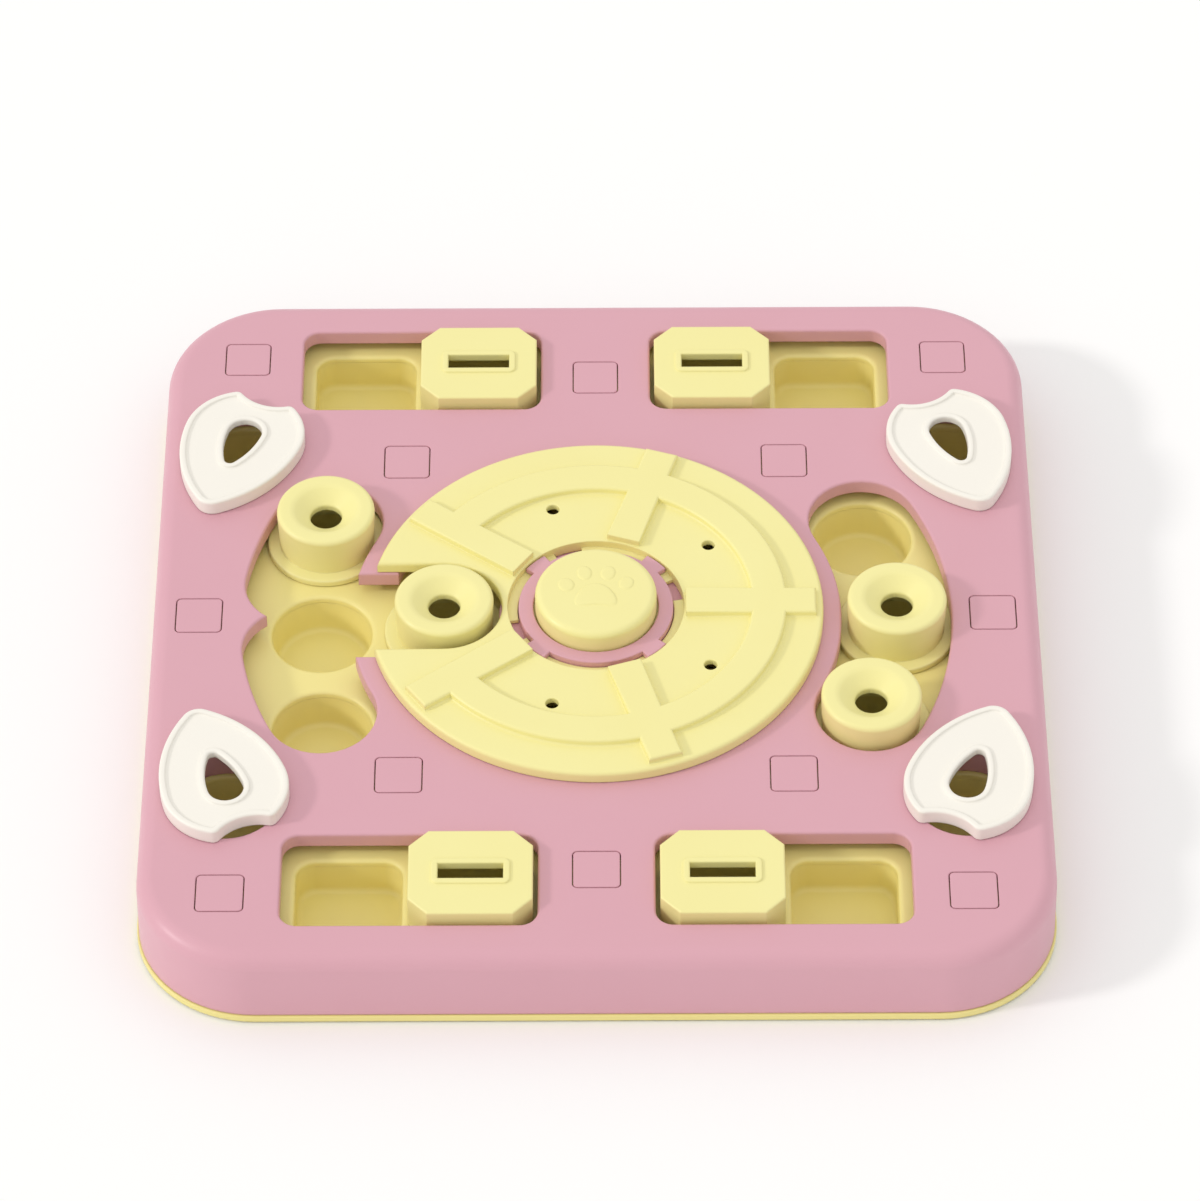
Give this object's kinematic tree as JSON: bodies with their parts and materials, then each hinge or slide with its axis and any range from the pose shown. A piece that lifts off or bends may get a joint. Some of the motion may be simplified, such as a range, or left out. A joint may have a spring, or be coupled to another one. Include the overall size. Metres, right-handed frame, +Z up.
{
  "type": "dog puzzle feeder",
  "caption": "Square slow feeder board for dogs: treat wells under round pucks, box sliders and swivel lids, around a turning disc with a squeaker button.",
  "frame": {"origin": "on the floor under the middle of the board", "axes": "+Z up, +Y to the back of the board, -Y to the dog, +X to the right"},
  "size_m": [0.284, 0.29, 0.039],
  "materials": {
    "pink_plastic": "satin moulded plastic",
    "yellow_plastic": "satin moulded plastic",
    "white_plastic": "satin moulded plastic",
    "foot_rubber": "soft rubber",
    "screw_steel": "zinc plated"
  },
  "bodies": {
    "base": {"tray": "yellow_plastic", "lane_decks": "yellow_plastic", "slot_decks": "yellow_plastic", "corner_decks": "yellow_plastic", "plug_sockets": "yellow_plastic", "tray_skirt": "yellow_plastic", "disc_bowl": "yellow_plastic", "round_cups": "yellow_plastic", "disc_cups": "yellow_plastic", "box_cups": "yellow_plastic", "cover": "pink_plastic", "lock_plugs": "pink_plastic", "rubber_feet": "foot_rubber", "hub_ring": "pink_plastic", "hub_screws": "screw_steel", "squeaker_bellows": "foot_rubber", "squeaker_reed": "white_plastic"},
    "disc": {"turning_disc": "yellow_plastic"},
    "button": {"squeaker_button": "yellow_plastic"},
    "puck_in_disc": {"puck_in_disc": "yellow_plastic"},
    "puck_top_left": {"puck_top_left": "yellow_plastic"},
    "puck_right": {"puck_right": "yellow_plastic"},
    "puck_bottom_right": {"puck_bottom_right": "yellow_plastic"},
    "slider_back_left": {"slider_back_left": "yellow_plastic"},
    "lid_back_left": {"lid_back_left": "white_plastic", "lid_screw_back_left": "screw_steel"},
    "slider_back_right": {"slider_back_right": "yellow_plastic"},
    "lid_back_right": {"lid_back_right": "white_plastic", "lid_screw_back_right": "screw_steel"},
    "slider_front_left": {"slider_front_left": "yellow_plastic"},
    "lid_front_left": {"lid_front_left": "white_plastic", "lid_screw_front_left": "screw_steel"},
    "slider_front_right": {"slider_front_right": "yellow_plastic"},
    "lid_front_right": {"lid_front_right": "white_plastic", "lid_screw_front_right": "screw_steel"}
  },
  "joints": [
    {"name": "disc_spin", "type": "hinge", "parent": "base", "child": "disc", "pos_m": [0, 0, 0.03], "axis": [0, 0, 1], "range_deg": [-288, 360]},
    {"name": "puck_in_disc_slide", "type": "slide", "parent": "disc", "child": "puck_in_disc", "axis": [-1, 0, 0], "range_m": [0, 0.0392]},
    {"name": "puck_top_left_swing", "type": "hinge", "parent": "base", "child": "puck_top_left", "pos_m": [-0.04328, 0.01941, 0.02], "axis": [0, 0, -1], "range_deg": [-45.6, 2]},
    {"name": "puck_right_swing", "type": "hinge", "parent": "base", "child": "puck_right", "pos_m": [0, 0, 0.02], "axis": [0, 0, 1], "range_deg": [0, 25.7]},
    {"name": "puck_bottom_right_swing", "type": "hinge", "parent": "base", "child": "puck_bottom_right", "pos_m": [0, 0, 0.02], "axis": [0, 0, 1], "range_deg": [0, 25.7]},
    {"name": "button_press", "type": "slide", "parent": "base", "child": "button", "axis": [0, 0, 1], "range_m": [-0.0035, 0], "stiffness_N_per_m": 800, "springref_m": 0.001, "deforming": ["squeaker_bellows"]},
    {"name": "slider_back_left_slide", "type": "slide", "parent": "base", "child": "slider_back_left", "axis": [-1, 0, 0], "range_m": [0, 0.0376]},
    {"name": "lid_back_left_swing", "type": "hinge", "parent": "base", "child": "lid_back_left", "pos_m": [-0.12397, 0.05037, 0.028], "axis": [0, 0, 1], "range_deg": [0, 90]},
    {"name": "slider_back_right_slide", "type": "slide", "parent": "base", "child": "slider_back_right", "axis": [1, 0, 0], "range_m": [0, 0.0376]},
    {"name": "lid_back_right_swing", "type": "hinge", "parent": "base", "child": "lid_back_right", "pos_m": [0.12397, 0.05037, 0.028], "axis": [0, 0, -1], "range_deg": [0, 90]},
    {"name": "slider_front_left_slide", "type": "slide", "parent": "base", "child": "slider_front_left", "axis": [-1, 0, 0], "range_m": [0, 0.0376]},
    {"name": "lid_front_left_swing", "type": "hinge", "parent": "base", "child": "lid_front_left", "pos_m": [-0.12397, -0.05037, 0.028], "axis": [0, 0, -1], "range_deg": [0, 90]},
    {"name": "slider_front_right_slide", "type": "slide", "parent": "base", "child": "slider_front_right", "axis": [1, 0, 0], "range_m": [0, 0.0376]},
    {"name": "lid_front_right_swing", "type": "hinge", "parent": "base", "child": "lid_front_right", "pos_m": [0.12397, -0.05037, 0.028], "axis": [0, 0, 1], "range_deg": [0, 90]}
  ],
  "couplings": [
    {"joint": "puck_bottom_right_swing", "follows": "puck_right_swing", "ratio": 1}
  ]
}
